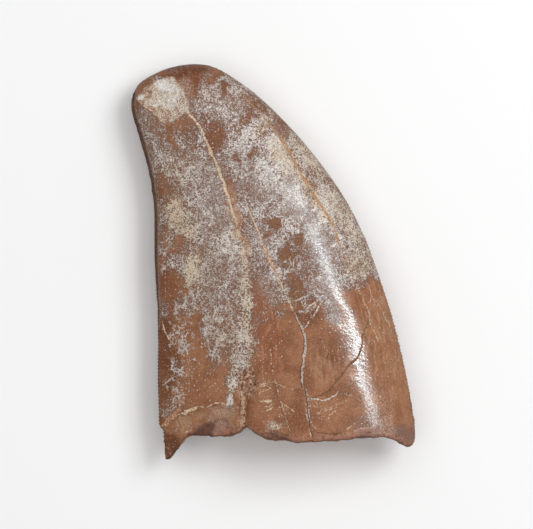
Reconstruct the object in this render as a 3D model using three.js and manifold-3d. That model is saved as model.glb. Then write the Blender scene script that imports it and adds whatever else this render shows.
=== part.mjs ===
// Fossil tooth crown of a large meat-eating dinosaur, lying on its side on a flat surface.
// One solid, in millimetres. X runs across the blade from the hind cutting edge to the front one,
// Y runs from the broken base towards the worn tip, and Z is up.
// The origin is at the middle of the footprint, at the height of the surface that the tooth rests on.
import * as THREE from 'three';
import { mergeVertices } from 'three/addons/utils/BufferGeometryUtils.js';
import Module from 'manifold-3d';

const wasm = await Module();
wasm.setup();

const { lerp, smoothstep, clamp, degToRad } = THREE.MathUtils;

// ---------------------------------------------------------------- driving dimensions

// Stations from below the break to the tip. Each is a chord of the blade: its end on the hind edge,
// its end on the front edge, and how far the upper and lower faces stand from the blade's middle plane.
const stations = [
  { hind: [-16.9, -32.0], front: [22.1, -32.0], upper: 8.7, lower: 6.7 },
  { hind: [-17.3, -25.5], front: [21.7, -25.3], upper: 8.6, lower: 6.6 },
  { hind: [-17.7, -19.3], front: [20.8, -19.3], upper: 8.4, lower: 6.45 },
  { hind: [-17.65, -13.2], front: [19.45, -13.2], upper: 8.2, lower: 6.3 },
  { hind: [-17.7, -7.2], front: [17.9, -7.2], upper: 7.9, lower: 6.1 },
  { hind: [-18.0, -1.4], front: [16.0, -1.4], upper: 7.6, lower: 5.9 },
  { hind: [-18.1, 4.2], front: [13.75, 4.4], upper: 7.2, lower: 5.6 },
  { hind: [-18.35, 9.2], front: [11.0, 9.7], upper: 6.8, lower: 5.3 },
  { hind: [-18.95, 13.7], front: [7.5, 14.7], upper: 6.4, lower: 4.95 },
  { hind: [-20.1, 17.7], front: [3.5, 19.6], upper: 5.9, lower: 4.5 },
  { hind: [-21.15, 21.2], front: [-0.5, 23.7], upper: 5.3, lower: 4.0 },
  { hind: [-21.65, 23.9], front: [-4.4, 26.9], upper: 4.6, lower: 3.4 },
  { hind: [-21.1, 26.1], front: [-8.2, 29.25], upper: 3.6, lower: 2.7 },
  { hind: [-19.7, 27.6], front: [-11.6, 30.0], upper: 2.2, lower: 1.7 },
  { hind: [-15.9, 29.45], front: [-15.9, 29.45], upper: 0, lower: 0 },
];
const middleAtBase = 6.4; // height of the blade's middle plane over the surface, at the first station
const middleAtTip = 4.6; // and at the tip
const rowsPerStation = 4; // rings of points from one station to the next

// The hind edge is worn to a narrow face: its half height and how far its upper corner stands in,
// at each station. The front edge keeps a blunt keel.
const hindFaceHalfHeight = [0.25, 0.25, 0.25, 0.35, 0.9, 1.35, 1.45, 1.5, 1.5, 1.5, 1.4, 1.2, 0.9, 0.6, 0];
const hindCornerInset = [0.2, 0.2, 0.2, 0.25, 0.7, 0.95, 0.95, 0.9, 0.9, 1.0, 1.15, 1.2, 1.0, 0.6, 0];
const frontKeelHalfHeight = 0.35;

// The two faces' sections. The crest is where the face stands highest, from -1 at the hind edge to 1 at
// the front one, and a larger power makes a fuller flank.
const upperSection = { crest: 0.16, frontPower: 2.45, hindPower: 1.75 };
const lowerSection = { crest: 0.08, frontPower: 2.1, hindPower: 2.0 };

// Long cracks, as points along them from the tip end to the base end, and how much of the blade's
// length each takes to open and to close.
const mainCrack = {
  points: [[-12.8, 22.4], [-11.0, 20.0], [-8.8, 15.0], [-7.0, 10.0], [-5.4, 5.0], [-4.1, 0.0],
    [-3.4, -5.0], [-3.0, -9.0], [-2.9, -12.7], [-3.2, -16.0], [-3.9, -19.5], [-4.2, -25.4]],
  halfWidth: 0.36,
  depth: 0.3,
  fadeAtBase: 0.001,
  fadeAtTip: 0.03,
};
const innerCrack = {
  points: [[-3.0, 5.8], [-2.1, 3.9], [-0.6, -0.2], [0.6, -2.4], [1.8, -4.9], [3.3, -7.9],
    [4.5, -10.0], [4.85, -12.1], [4.7, -14.5], [4.2, -17.0], [4.4, -18.8], [4.85, -20.9],
    [5.3, -23.6], [5.7, -27.2]],
  halfWidth: 0.3,
  depth: 0.3,
  fadeAtBase: 0.001,
  fadeAtTip: 0.12,
};
const outerCrack = {
  points: [[-5.2, 25.6], [-3.8, 24.2], [-1.2, 21.5], [1.5, 17.9], [4.2, 13.0], [6.8, 8.8],
    [8.8, 5.8], [10.2, 2.0]],
  halfWidth: 0.3,
  depth: 0.22,
  fadeAtBase: 0.12,
  fadeAtTip: 0.1,
};
const underCrack = { // in the lower face
  points: [[-14.4, 19.5], [-12.0, 13.2], [-10.6, 6.4], [-9.4, -0.6], [-7.4, -7.2],
    [-6.9, -13.6], [-7.8, -19.3], [-7.4, -27.0]],
  halfWidth: 0.35,
  depth: 0.25,
  fadeAtBase: 0.001,
  fadeAtTip: 0.1,
};
const widestGap = 0.06; // a crack takes no more than this share of the half chord each way
const sunkStrip = { depth: 0.3, wholeAt: 0.42, endsAt: 0.66 }; // between the main and the inner crack

// The break at the base, along the upper face: a spike at the hind edge, a notch where the main crack
// leaves, a lobe beside it, and a short horn at the front edge.
const upperBreakProfile = [[-22, -22.5], [-18, -25.9], [-17.2, -27.4], [-16.8, -28.9], [-16.2, -30.0],
  [-15.3, -29.4], [-14.2, -28.2], [-13.3, -27.0], [-12.5, -26.5], [-8.9, -26.7], [-6.5, -26.4],
  [-5.3, -25.8], [-4.2, -25.1], [-3.0, -25.8], [-1.6, -26.5], [0.2, -27.05], [1.9, -26.75],
  [3.2, -27.3], [5.0, -27.1], [9.8, -26.85], [14.0, -26.45], [16.2, -26.4], [17.6, -26.75],
  [18.9, -27.45], [20.3, -28.1], [21.3, -27.5], [22.2, -25.8], [25, -22.5]];
// The same break along the lower face.
const lowerBreakProfile = [[-22, -24], [-17.6, -25.4], [-16.4, -28.6], [-15.0, -28.2], [-12.8, -25.7],
  [-9.4, -25.1], [-7.3, -25.8], [-4.6, -26.0], [-2.7, -25.2], [0.3, -25.5], [2.3, -26.2], [5.7, -26.0],
  [8.1, -25.1], [11.4, -25.4], [14.8, -25.8], [17.3, -25.3], [19.4, -26.6], [21.4, -26.2], [25, -24]];
const breakMesh = { columns: 76, layers: 24, height: 24 };
const breakMiddle = { x: 2.2, thickUntil: 13, thinFrom: 17.5 }; // the thin edges are broken straight through
const pulp = { x: 1.0, z: 6.7, halfWidth: 10.5, halfHeight: 2.0, depth: 1.7 }; // hollow in the break

// Places where the outer layer has flaked off the upper face, as outlines seen from above.
const outerLayer = 0.42; // thickness
const baseFlake = [[-19, -24.6], [-17.1, -25.0], [-16.0, -24.2], [-14.9, -22.9], [-13.5, -22.4],
  [-11.8, -22.0], [-9.7, -21.5], [-7.6, -21.2], [-6.9, -21.7], [-6.0, -22.6], [-5.8, -24.4],
  [-5.9, -28.0], [-10, -34], [-22, -34]];
const lipFlake = [[-3.1, -25.7], [-2.0, -25.75], [-0.6, -25.9], [0.9, -26.1], [2.3, -26.4],
  [3.0, -27.0], [3.2, -30], [-4, -30]];

// A deeper pit on the main crack, which runs on down to the notch.
const pitDepth = 0.95;
const pit = [[-4.3, -16.2], [-3.4, -16.4], [-2.7, -17.4], [-2.5, -18.6], [-3.0, -19.6], [-3.6, -20.4],
  [-3.7, -22.0], [-3.9, -24.5], [-3.6, -26.5], [-5.0, -26.5], [-4.9, -23.5], [-4.8, -20.6],
  [-5.1, -19.2], [-5.0, -17.6]];

// The tip is spalled: a shallow scoop, as a great ball would leave it.
const scar = {
  centre: [-16.2, 24.4],
  depth: 0.72, // under the old surface at the centre
  fallToHind: 20, // lean of the scoop's floor in degrees, down towards the hind edge
  fallToTip: 8.5, // and down towards the tip
  radius: 24,
};

// ---------------------------------------------------------------- curves and places on the blade

const asPoints = (outline) => outline.map((p) => new THREE.Vector2(...p));

const lastStation = stations.length - 1;
const hindEdge = new THREE.SplineCurve(asPoints(stations.map((s) => s.hind)));
const frontEdge = new THREE.SplineCurve(asPoints(stations.map((s) => s.front)));

// A value given at each station, read smoothly at v, which runs from 0 at the first to 1 at the tip.
function atStation(values, v) {
  const place = v * lastStation;
  const i = Math.min(Math.floor(place), lastStation - 1);
  const t = place - i;
  const [a, b] = [values[i], values[i + 1]];
  if (i === lastStation - 1) return lerp(a, b, t);
  const slopeA = (b - values[Math.max(i - 1, 0)]) / 2;
  const slopeB = (values[i + 2] - a) / 2;
  const bend = 3 * (b - a) - 2 * slopeA - slopeB;
  return a + t * (slopeA + t * (bend + t * (2 * (a - b) + slopeA + slopeB)));
}

const upperHeight = (v) => atStation(stations.map((s) => s.upper), v);
const lowerHeight = (v) => atStation(stations.map((s) => s.lower), v);
const middleHeight = (v) => lerp(middleAtBase, middleAtTip, v);

// The chord at v: its middle, its unit direction from hind to front, and its half length.
function chordAt(v) {
  const hind = hindEdge.getPoint(v);
  const front = frontEdge.getPoint(v);
  const along = front.clone().sub(hind);
  const half = along.length() / 2;
  const middle = hind.clone().add(front).multiplyScalar(0.5);
  return { middle, along: along.divideScalar(2 * half || 1), half };
}

// Blade coordinates of a point seen from above: v along the blade, s across it from -1 to 1.
function bladeCoordinates([x, y]) {
  const point = new THREE.Vector2(x, y);
  let [low, high] = [0, 1 - 1e-6];
  for (let step = 0; step < 40; step += 1) {
    const v = (low + high) / 2;
    const { middle, along } = chordAt(v);
    if (along.cross(point.clone().sub(middle)) > 0) low = v;
    else high = v;
  }
  const { middle, along, half } = chordAt(low);
  return { v: low, s: along.dot(point.clone().sub(middle)) / half };
}

// Gives, for v, where a crack crosses the chord there and how far it is open, from 0 to 1.
function crackTracker(crack) {
  const marks = crack.points.map(bladeCoordinates).sort((a, b) => a.v - b.v);
  const first = marks[0];
  const last = marks[marks.length - 1];
  return (v) => {
    const near = clamp(v, first.v, last.v);
    const i = Math.max(marks.findIndex((m) => m.v >= near), 1);
    const t = (near - marks[i - 1].v) / (marks[i].v - marks[i - 1].v);
    const opening = smoothstep(v, first.v - crack.fadeAtBase, first.v + crack.fadeAtBase);
    const closing = smoothstep(v, last.v - crack.fadeAtTip, last.v);
    return { ...crack, s: lerp(marks[i - 1].s, marks[i].s, t), open: opening * (1 - closing) };
  };
}
const mainCrackAt = crackTracker(mainCrack);
const innerCrackAt = crackTracker(innerCrack);
const outerCrackAt = crackTracker(outerCrack);
const underCrackAt = crackTracker(underCrack);

// How high a face stands at s, as a share of its full height.
function sectionShare(s, { crest, frontPower, hindPower }) {
  const fromCrest = (s - crest) / (1 - crest * s);
  const isFront = fromCrest > 0;
  return (1 - Math.abs(fromCrest) ** (isFront ? frontPower : hindPower)) ** (isFront ? 0.86 : 0.96);
}

// Slow swells of the surface, so that no face is perfectly even.
function swell(x, y) {
  return 0.05 * Math.sin(0.33 * x + 0.21 * y)
    + 0.04 * Math.sin(0.47 * y - 0.29 * x + 1.3)
    + 0.025 * Math.sin(0.83 * x + 0.61 * y + 2.1);
}

// ---------------------------------------------------------------- the blade

// Values of s that step from a to b, without either end.
function between(a, b, count) {
  return Array.from({ length: count }, (_, i) => lerp(a, b, (i + 1) / (count + 1)));
}

// One ring of points around the blade at v: the worn hind face, the upper face, the lower face.
function ringAt(v) {
  const { middle, along, half } = chordAt(v);
  const level = middleHeight(v);
  const upper = upperHeight(v);
  const lower = lowerHeight(v);
  const hindHalf = Math.min(atStation(hindFaceHalfHeight, v), upper * 0.45);
  const keel = Math.min(frontKeelHalfHeight, upper * 0.2);
  const [main, inner, outer, under] = [mainCrackAt(v), innerCrackAt(v), outerCrackAt(v), underCrackAt(v)];

  const point = (s, z) => {
    const spot = middle.clone().addScaledVector(along, s * half);
    return new THREE.Vector3(spot.x, spot.y, z);
  };
  const crackDip = (s, crack) => {
    const away = Math.abs(s - crack.s) * half;
    return crack.depth * crack.open * Math.max(0, 1 - away / crack.halfWidth);
  };
  const stripDip = (s) => {
    if (s <= main.s || s >= inner.s) return 0;
    const fadesOut = 1 - smoothstep(v, sunkStrip.wholeAt, sunkStrip.endsAt);
    const mainRim = Math.min(1, ((s - main.s) * half) / main.halfWidth);
    const innerRim = Math.min(1, ((inner.s - s) * half) / inner.halfWidth);
    const ramp = lerp((inner.s - s) / (inner.s - main.s), 1, inner.open);
    return sunkStrip.depth * fadesOut * mainRim * Math.min(ramp, innerRim);
  };
  const rimAt = (s, hindRim) => lerp(hindRim, keel, smoothstep(s, -0.6, 0.6));

  const upperPoint = (s) => {
    const { x, y } = point(s, 0);
    const share = sectionShare(s, upperSection);
    const rim = rimAt(s, hindHalf);
    const relief = crackDip(s, main) + crackDip(s, inner) + crackDip(s, outer) + stripDip(s);
    const height = rim + (upper - rim) * share - relief + swell(x, y) * share * Math.min(1, upper / 4);
    return point(s, level + Math.max(height, 0.5 * (s < 0 ? hindHalf : keel)));
  };
  const lowerPoint = (s) => {
    const rim = Math.min(rimAt(s, hindHalf * 0.8), lower * 0.4);
    return point(s, level - rim - (lower - rim) * sectionShare(s, lowerSection) + crackDip(s, under));
  };

  const hindCorner = -1 + Math.min(atStation(hindCornerInset, v) / half, 0.12);
  const nearFront = 0.985;
  const nearHind = -0.965;
  const rims = (crack) => {
    const gap = Math.min(crack.halfWidth / half, widestGap);
    return [crack.s - gap, crack.s, crack.s + gap];
  };
  const [mainRims, innerRims, outerRims, underRims] = [main, inner, outer, under].map(rims);
  const upperPlaces = [
    hindCorner + 0.012, ...between(hindCorner, mainRims[0], 7),
    ...mainRims, ...between(mainRims[2], innerRims[0], 3),
    ...innerRims, ...between(innerRims[2], outerRims[0], 6),
    ...outerRims, ...between(outerRims[2], nearFront, 3), nearFront,
  ];
  const lowerPlaces = [
    nearHind, ...between(nearHind, underRims[0], 5),
    ...underRims, ...between(underRims[2], nearFront, 7), nearFront,
  ].reverse();
  return [
    point(-1, level + 0.15 * hindHalf),
    point(hindCorner, level + hindHalf),
    ...upperPlaces.map(upperPoint),
    point(1, level),
    ...lowerPlaces.map(lowerPoint),
  ];
}

// The whole blade as one closed mesh: rings joined by strips, a flat end below the break, a point at the tip.
function bladeGeometry() {
  const rowCount = lastStation * rowsPerStation;
  const rings = Array.from({ length: rowCount }, (_, row) => ringAt(row / rowCount));
  const size = rings[0].length;
  const ringCentre = rings[0].reduce((sum, p) => sum.add(p), new THREE.Vector3()).divideScalar(size);
  const tip = hindEdge.getPoint(1);
  const points = [...rings.flat(), ringCentre, new THREE.Vector3(tip.x, tip.y, middleAtTip)];
  const [baseCentre, apex] = [points.length - 2, points.length - 1];
  const faces = [];
  for (let i = 0; i < size; i += 1) {
    const next = (i + 1) % size;
    faces.push(baseCentre, next, i);
    for (let row = 0; row < rowCount - 1; row += 1) {
      const [low, high] = [row * size, (row + 1) * size];
      faces.push(low + i, high + next, high + i, low + i, low + next, high + next);
    }
    const top = (rowCount - 1) * size;
    faces.push(top + i, top + next, apex);
  }
  return new THREE.BufferGeometry().setFromPoints(points).setIndex(faces);
}

// The same closed mesh, moved inwards along its normals by a depth.
function sunkBy(geometry, depth) {
  const sunk = geometry.clone();
  sunk.computeVertexNormals();
  const { position, normal } = sunk.attributes;
  const point = new THREE.Vector3();
  const outward = new THREE.Vector3();
  for (let i = 0; i < position.count; i += 1) {
    outward.fromBufferAttribute(normal, i);
    point.fromBufferAttribute(position, i).addScaledVector(outward, -depth);
    position.setXYZ(i, point.x, point.y, point.z);
  }
  return sunk;
}

// ---------------------------------------------------------------- solids and cutters

function solidOf(geometry) {
  const bare = geometry.clone();
  bare.deleteAttribute('normal');
  bare.deleteAttribute('uv');
  const merged = mergeVertices(bare, 1e-5);
  return new wasm.Manifold(new wasm.Mesh({
    numProp: 3,
    vertProperties: new Float32Array(merged.attributes.position.array),
    triVerts: new Uint32Array(merged.index.array),
  }));
}

function geometryOf(solid) {
  const mesh = solid.getMesh();
  const geometry = new THREE.BufferGeometry();
  geometry.setAttribute('position', new THREE.BufferAttribute(mesh.vertProperties, 3));
  geometry.setIndex(new THREE.BufferAttribute(mesh.triVerts, 1));
  return geometry;
}

// An upright prism over an outline seen from above.
function prism(outline, bottom) {
  const tall = 20;
  const shape = new THREE.Shape(asPoints(outline));
  const geometry = new THREE.ExtrudeGeometry(shape, { depth: tall, bevelEnabled: false });
  return solidOf(geometry.translate(0, 0, bottom));
}

// A zigzag between -1 and 1, for surfaces that broke in flat facets.
const zigzag = (angle) => (2 / Math.PI) * Math.asin(Math.sin(angle));

// Height of a polyline at x.
function heightAlong(line, x) {
  const i = clamp(line.findIndex((p) => p.x >= x), 1, line.length - 1);
  const [a, b] = [line[i - 1], line[i]];
  return lerp(a.y, b.y, clamp((x - a.x) / (b.x - a.x), 0, 1));
}

const upperBreak = new THREE.SplineCurve(asPoints(upperBreakProfile)).getSpacedPoints(breakMesh.columns);
const lowerBreak = asPoints(lowerBreakProfile);

// The break's distance along Y at a place across and up the blade.
function breakAt(x, z) {
  const thin = smoothstep(Math.abs(x - breakMiddle.x), breakMiddle.thickUntil, breakMiddle.thinFrom);
  const upwards = Math.max(smoothstep(z, 1.5, 11.5), thin);
  const plain = lerp(heightAlong(lowerBreak, x), heightAlong(upperBreak, x), upwards);
  const fromPulp = Math.hypot((x - pulp.x) / pulp.halfWidth, (z - pulp.z) / pulp.halfHeight);
  const hollow = pulp.depth * Math.sqrt(Math.max(0, 1 - fromPulp ** 2.2));
  const inside = smoothstep(z, 0.5, 3) * (1 - smoothstep(z, 9, 12.5)) * (1 - thin);
  const facets = 0.34 * zigzag(0.85 * x + 0.5 * z)
    + 0.22 * zigzag(1.25 * z - 0.65 * x + 1)
    + 0.14 * zigzag(2.1 * x + 1.7 * z + 2);
  return plain + hollow + facets * inside;
}

// Everything below the break, as a block whose upper side is the broken face.
function breakBlock() {
  const { columns, layers, height } = breakMesh;
  const farBelow = -50;
  const geometry = new THREE.BoxGeometry(1, 1, height, columns, 1, layers).translate(0.5, 0, height / 3);
  const { position } = geometry.attributes;
  for (let i = 0; i < position.count; i += 1) {
    const { x } = upperBreak[Math.round(position.getX(i) * columns)];
    const y = position.getY(i) > 0 ? breakAt(x, position.getZ(i)) : farBelow;
    position.setXY(i, x, y);
  }
  return solidOf(geometry);
}

// Height of a solid's upper face over a point seen from above.
function upperFaceOver(solid, [x, y]) {
  const width = 0.02;
  const needle = prism([[x - width, y - width], [x + width, y - width], [x, y + width]], 0);
  return solid.intersect(needle).boundingBox().max[2];
}

// The great ball that only just sinks into the tip.
function scarBall(blade) {
  const lean = new THREE.Vector3(-Math.tan(degToRad(scar.fallToHind)), Math.tan(degToRad(scar.fallToTip)), 1);
  const floor = new THREE.Vector3(...scar.centre, upperFaceOver(blade, scar.centre) - scar.depth);
  const centre = floor.addScaledVector(lean.normalize(), scar.radius);
  return solidOf(new THREE.SphereGeometry(scar.radius, 110, 70).translate(...centre.toArray()));
}

// ---------------------------------------------------------------- the tooth

const blade = bladeGeometry();
const wholeBlade = solidOf(blade);
const underOuterLayer = solidOf(sunkBy(blade, outerLayer));
const underPit = solidOf(sunkBy(blade, pitDepth));
const aboveSurface = solidOf(new THREE.BoxGeometry(80, 90, 40).translate(0, 0, 20));

const toothSolid = wholeBlade
  .subtract(prism(baseFlake, 5.5).subtract(underOuterLayer))
  .subtract(prism(lipFlake, 8).subtract(underOuterLayer))
  .subtract(prism(pit, 8).subtract(underPit))
  .subtract(scarBall(wholeBlade))
  .subtract(breakBlock())
  .intersect(aboveSurface); // worn flat underneath, where it rests

// The origin goes to the middle of the footprint.
const { min, max } = toothSolid.boundingBox();
const centred = toothSolid.translate([-(min[0] + max[0]) / 2, -(min[1] + max[1]) / 2, 0]);

const tooth = new THREE.Mesh(
  geometryOf(centred),
  new THREE.MeshStandardMaterial({ color: 0x94694e, roughness: 0.42, metalness: 0 }),
);
tooth.name = 'tooth';

const group = new THREE.Group();
group.add(tooth);
export default group;
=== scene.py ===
import math
import bpy
import numpy as np
from mathutils import Matrix, Vector, noise


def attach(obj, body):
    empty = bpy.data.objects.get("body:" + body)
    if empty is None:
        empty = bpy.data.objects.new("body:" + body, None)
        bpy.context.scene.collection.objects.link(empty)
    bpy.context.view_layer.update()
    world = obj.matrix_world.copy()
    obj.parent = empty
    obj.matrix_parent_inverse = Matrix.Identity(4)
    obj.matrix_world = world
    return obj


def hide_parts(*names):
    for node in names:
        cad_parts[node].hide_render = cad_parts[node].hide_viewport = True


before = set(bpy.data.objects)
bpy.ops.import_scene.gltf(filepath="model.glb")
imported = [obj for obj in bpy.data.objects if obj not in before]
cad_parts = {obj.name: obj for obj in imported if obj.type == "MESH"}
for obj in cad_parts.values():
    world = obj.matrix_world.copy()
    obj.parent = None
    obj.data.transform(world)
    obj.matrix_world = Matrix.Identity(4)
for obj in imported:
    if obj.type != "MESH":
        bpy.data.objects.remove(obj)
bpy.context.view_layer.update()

# A fossil dinosaur tooth, lying on its side. The surface of the solid is worked up into old enamel: mineral
# in the cracks, chips, a scar at the tip, saw teeth on both edges, a pale crust and a rough break.
# Sizes are in millimetres. Lines and patches on the tooth are placed in tenths of one, as seen from above.
mm = 0.001


def tenths(numbers):
    return np.array(numbers) / 10


def ramp(start, end, x):
    # 0 at start, 1 at end, smooth in between
    t = np.clip((x - start) / (end - start), 0, 1)
    return t * t * (3 - 2 * t)


def noiseAt(places, size, seed):
    # smooth noise in lumps of this size, from about -0.7 to 0.7
    return np.array([noise.noise((x / size + seed, y / size - seed, z / size)) for x, y, z in places])


def rgb(red, green, blue):
    # parts from 0 to 255, as the renderer takes them
    return tuple(((part / 255 + 0.055) / 1.055) ** 2.4 for part in (red, green, blue))


def nearLine(spots, points):
    # for each spot, its distance from a line, the side it lies on and how far along the line it is
    distance = np.full(len(spots), 1e9)
    side = np.zeros(len(spots))
    along = np.zeros(len(spots))
    travelled = 0
    for start, end in zip(np.array(points[:-1], float), np.array(points[1:], float)):
        step = end - start
        length = math.hypot(*step)
        t = np.clip((spots - start) @ step / length ** 2, 0, 1)
        away = spots - start - t[:, None] * step
        gap = np.hypot(away[:, 0], away[:, 1])
        closer = gap < distance
        distance[closer] = gap[closer]
        cross = step[0] * (spots[:, 1] - start[1]) - step[1] * (spots[:, 0] - start[0])
        side[closer] = np.sign(cross[closer])
        along[closer] = travelled + t[closer] * length
        travelled += length
    return distance, side, along, travelled


def insideOf(spots, outline):
    # distance from an outline, positive inside it
    closed = tenths([*outline, outline[0]])
    distance = nearLine(spots, closed)[0]
    inside = np.zeros(len(spots), bool)
    for (ax, ay), (bx, by) in zip(closed[:-1], closed[1:]):
        if ay != by:
            crossed = (spots[:, 1] > ay) != (spots[:, 1] > by)
            inside ^= crossed & (spots[:, 0] < (bx - ax) * (spots[:, 1] - ay) / (by - ay) + ax)
    return np.where(inside, distance, -distance)


# The camera looks straight down. The key, the fill and the sky light it softly, and a long thin lamp on the
# front edge's side, which shows in reflections alone, draws a bright streak along the crown.
cameraSet = {"lens": 300, "frameWidth": 80.76, "aim": (-1.06, -0.55, 6)}
lightSet = {
    "key": {"at": (260, 150, 420), "along": (0, 1, 0), "size": (240, 240), "power": 1.2},
    "streak": {"at": (316, 110, 344), "along": (-0.66, 0.6, 0.56), "size": (8, 260), "power": 1.8,
               "colour": (0.78, 0.94, 1)},
    "fill": {"at": (-40, 60, 780), "along": (1, 0, 0), "size": (1000, 1000), "power": 3.3},
    "aim": (11, -8, 12),
    "sky": 0.3,
}
floorSet = {"side": 1200, "drop": 0.02, "colour": (0.95, 0.95, 0.95), "roughness": 0.9}


def makeStage():
    scene = bpy.context.scene
    camera = bpy.data.objects.new("camera", bpy.data.cameras.new("camera"))
    camera.data.lens = cameraSet["lens"]
    camera.data.clip_start = 0.01
    distance = cameraSet["frameWidth"] * cameraSet["lens"] / camera.data.sensor_width
    camera.location = (Vector(cameraSet["aim"]) + Vector((0, 0, distance))) * mm
    scene.collection.objects.link(camera)
    bpy.context.scene.camera = camera
    for name in ("key", "streak", "fill"):
        made = lightSet[name]
        mirrored = name == "streak"
        light = bpy.data.lights.new(name, "AREA")
        light.shape = "RECTANGLE"
        light.size, light.size_y = [side * mm for side in made["size"]]
        light.energy = made["power"]
        light.color = made.get("colour", (1, 1, 1))
        lamp = bpy.data.objects.new(name, light)
        lamp.location = Vector(made["at"]) * mm
        lamp.visible_diffuse = not mirrored
        lamp.visible_glossy = mirrored
        back = (Vector(made["at"]) - Vector(lightSet["aim"])).normalized()
        across = Vector(made["along"]).cross(back).normalized()
        lamp.rotation_euler = Matrix((across, back.cross(across), back)).transposed().to_euler()
        scene.collection.objects.link(lamp)
    world = bpy.data.worlds.new("studio")
    world.use_nodes = True
    background = world.node_tree.nodes["Background"].inputs
    background["Color"].default_value = (1, 1, 1, 1)
    background["Strength"].default_value = lightSet["sky"]
    scene.world = world
    scene.view_settings.view_transform = "Standard"
    bpy.ops.object.select_all(action="DESELECT")
    bpy.ops.mesh.primitive_plane_add(size=floorSet["side"] * mm, location=(0, 0, -floorSet["drop"] * mm))
    floor = bpy.context.object
    floor.name = "floor"
    paper = bpy.data.materials.new("paper")
    paper.use_nodes = True
    shader = paper.node_tree.nodes["Principled BSDF"]
    shader.inputs["Base Color"].default_value = (*floorSet["colour"], 1)
    shader.inputs["Roughness"].default_value = floorSet["roughness"]
    floor.data.materials.append(paper)
    floor.visible_glossy = False
    print("stage: camera, lights and floor")


makeStage()

# What fills the cracks. Here and below, each part of a colour runs from 0 to 255.
mineral = {
    "cream": (222, 196, 166), "peach": (210, 166, 134), "sand": (184, 150, 118), "orange": (186, 136, 88),
    "pale": (194, 158, 130), "grey": (204, 189, 178), "white": (206, 196, 188), "clay": (180, 126, 90),
    "russet": (160, 108, 76), "dark": (74, 50, 38),
}


def vein(kind, half, groove, gaps, points, step=(0, 1), shade=0, taper=(1, 1)):
    # half is half the width, groove how far the surface dips, gaps the share of the filling that is missing,
    # step how much higher the left side stands and how far it takes to level out, shade how far to the left
    # a line of painted shade runs beside it, and taper over what length each end thins out
    return {"mineral": kind, "half": half, "groove": groove, "gaps": gaps, "points": tenths(points),
            "step": step, "shade": shade, "taper": taper}


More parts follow.
